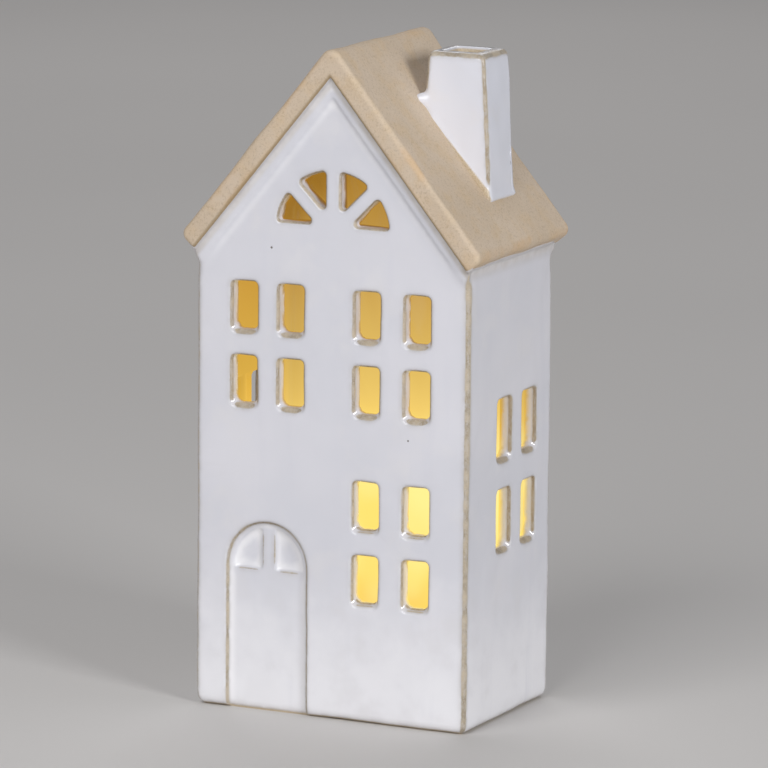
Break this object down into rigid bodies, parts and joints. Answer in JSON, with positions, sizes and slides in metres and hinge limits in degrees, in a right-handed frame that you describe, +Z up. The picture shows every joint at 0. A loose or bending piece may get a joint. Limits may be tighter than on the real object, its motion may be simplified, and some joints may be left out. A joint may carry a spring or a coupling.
{
  "type": "lit ceramic village house",
  "caption": "Tall narrow ceramic house lantern with a bare clay gable roof, hollow chimney, cut-out windows, arched door relief and a battery lamp module in its floor.",
  "frame": {"origin": "middle of the footprint, on the surface that the house stands on", "axes": "+Z up, -Y out of the gable with the door, +X towards the slope with the chimney"},
  "size_m": [0.1084, 0.0716, 0.2241],
  "materials": {
    "white_glaze": "gloss",
    "bare_stoneware": "matte",
    "module_plastic": "matte",
    "gasket_foam": "matte",
    "plated_steel": "satin",
    "cell_jacket": "satin",
    "red_insulation": "satin",
    "black_insulation": "satin",
    "board_laminate": "satin",
    "component_black": "matte",
    "knob_plastic": "satin",
    "lamp_lens": "gloss"
  },
  "bodies": {
    "house": {"house_walls": "white_glaze", "roof": "bare_stoneware", "chimney": "white_glaze", "module_base": "module_plastic", "module_housing": "module_plastic", "module_gasket": "gasket_foam", "module_screws": "plated_steel", "battery_front": "cell_jacket", "battery_rear": "cell_jacket", "contact_plates": "plated_steel", "contact_springs": "plated_steel", "positive_wire": "red_insulation", "negative_wire": "black_insulation", "circuit_board": "board_laminate", "board_components": "component_black", "slide_switch_body": "component_black", "led": "lamp_lens", "led_leads": "plated_steel"},
    "battery_door": {"battery_door": "module_plastic"},
    "door_screw": {"battery_door_screw": "plated_steel"},
    "switch_knob": {"switch_knob": "knob_plastic"}
  },
  "joints": [
    {"name": "battery_door_hinge", "type": "hinge", "parent": "house", "child": "battery_door", "pos_m": [-0.02585, -0.0072, 0.0024], "axis": [0, 1, 0], "range_deg": [0, 80]},
    {"name": "door_screw_turn", "type": "hinge", "parent": "battery_door", "child": "door_screw", "pos_m": [0.02865, -0.0072, 0.001], "axis": [0, 0, 1], "continuous": true},
    {"name": "switch_slide", "type": "slide", "parent": "house", "child": "switch_knob", "axis": [1, 0, 0], "range_m": [-0.002, 0]}
  ]
}
